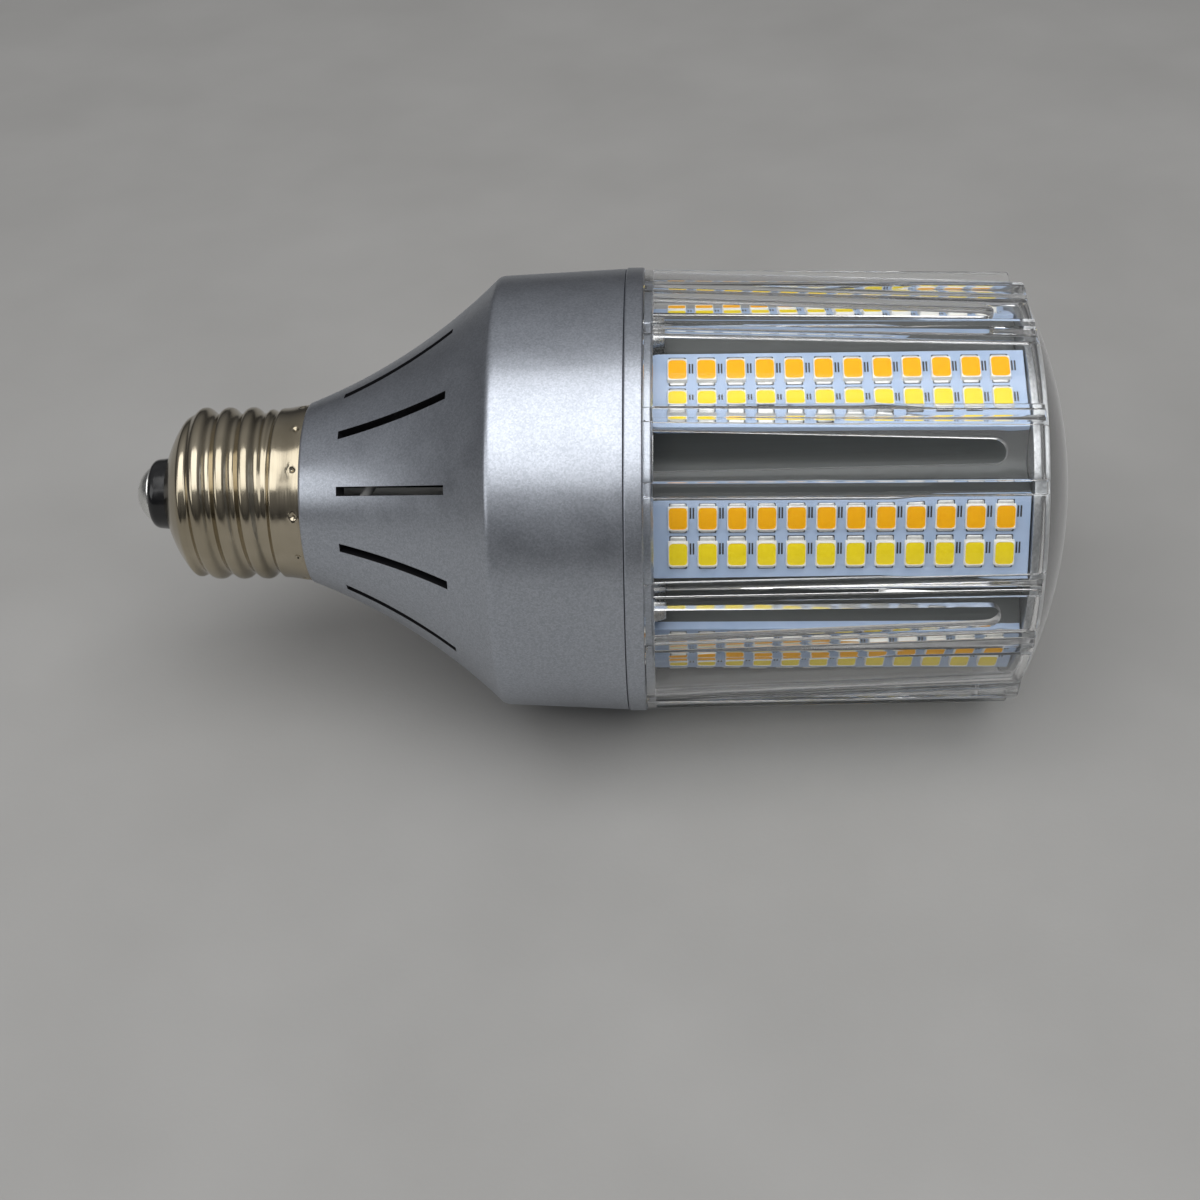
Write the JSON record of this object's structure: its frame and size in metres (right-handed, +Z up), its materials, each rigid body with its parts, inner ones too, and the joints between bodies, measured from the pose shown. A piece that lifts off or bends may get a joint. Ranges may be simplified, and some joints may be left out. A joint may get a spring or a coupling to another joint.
{
  "type": "led retrofit bulb",
  "caption": "Corn-type LED lamp: a medium screw base, a flared silver driver housing with vents, and LED boards round a heat sink under a clear ribbed cover with a domed head.",
  "frame": {"origin": "on the ground under the middle of the bulb's length, with the bulb lying on its side", "axes": "+X along the bulb from the screw base to the domed head, +Z up; the axis dips by less than two degrees towards the head, because the bulb lies on its collar and on two ribs of the cover"},
  "size_m": [0.1398, 0.0666, 0.0668],
  "materials": {
    "solder": "dull solder",
    "black_insulator": "glossy black insulator",
    "nickel_shell": "warm nickel plating on rolled metal",
    "silver_paint": "silver metallic-flake paint on a moulding",
    "screw_steel": "plated steel",
    "bare_aluminium": "mill finish",
    "white_board": "white solder mask",
    "warm_phosphor": "orange phosphor in a white frame",
    "cool_phosphor": "yellow phosphor in a white frame",
    "clear_polycarbonate": "clear moulded polycarbonate",
    "green_board": "green solder mask",
    "black_sleeve": "black sleeve",
    "ferrite": "dark ferrite",
    "yellow_case": "yellow moulded case",
    "blue_coating": "blue coating",
    "white_wire": "white insulation"
  },
  "bodies": {
    "root": {"contact_button": "solder", "base_insulator": "black_insulator", "screw_shell": "nickel_shell", "driver_housing": "silver_paint", "mounting_collar": "silver_paint", "collar_screws": "screw_steel", "core_screws": "screw_steel", "heat_sink": "bare_aluminium", "led_board_1": "white_board", "led_board_2": "white_board", "led_board_3": "white_board", "led_board_4": "white_board", "led_board_5": "white_board", "led_board_6": "white_board", "led_board_7": "white_board", "led_board_8": "white_board", "warm_leds_1": "warm_phosphor", "warm_leds_2": "warm_phosphor", "warm_leds_3": "warm_phosphor", "warm_leds_4": "warm_phosphor", "warm_leds_5": "warm_phosphor", "warm_leds_6": "warm_phosphor", "warm_leds_7": "warm_phosphor", "warm_leds_8": "warm_phosphor", "cool_leds_1": "cool_phosphor", "cool_leds_2": "cool_phosphor", "cool_leds_3": "cool_phosphor", "cool_leds_4": "cool_phosphor", "cool_leds_5": "cool_phosphor", "cool_leds_6": "cool_phosphor", "cool_leds_7": "cool_phosphor", "cool_leds_8": "cool_phosphor", "end_plate": "bare_aluminium", "end_plate_screws": "screw_steel", "clear_cover": "clear_polycarbonate", "link_board": "green_board", "driver_board": "green_board", "driver_screws": "screw_steel", "bulk_capacitor": "black_sleeve", "transformer": "ferrite", "film_capacitor": "yellow_case", "filter_choke": "ferrite", "rectifier": "black_sleeve", "safety_fuse": "black_sleeve", "surge_disc": "blue_coating", "controller_chip": "black_sleeve", "output_leads": "white_wire", "contact_lead": "white_wire", "shell_lead": "white_wire"}
  },
  "joints": []
}
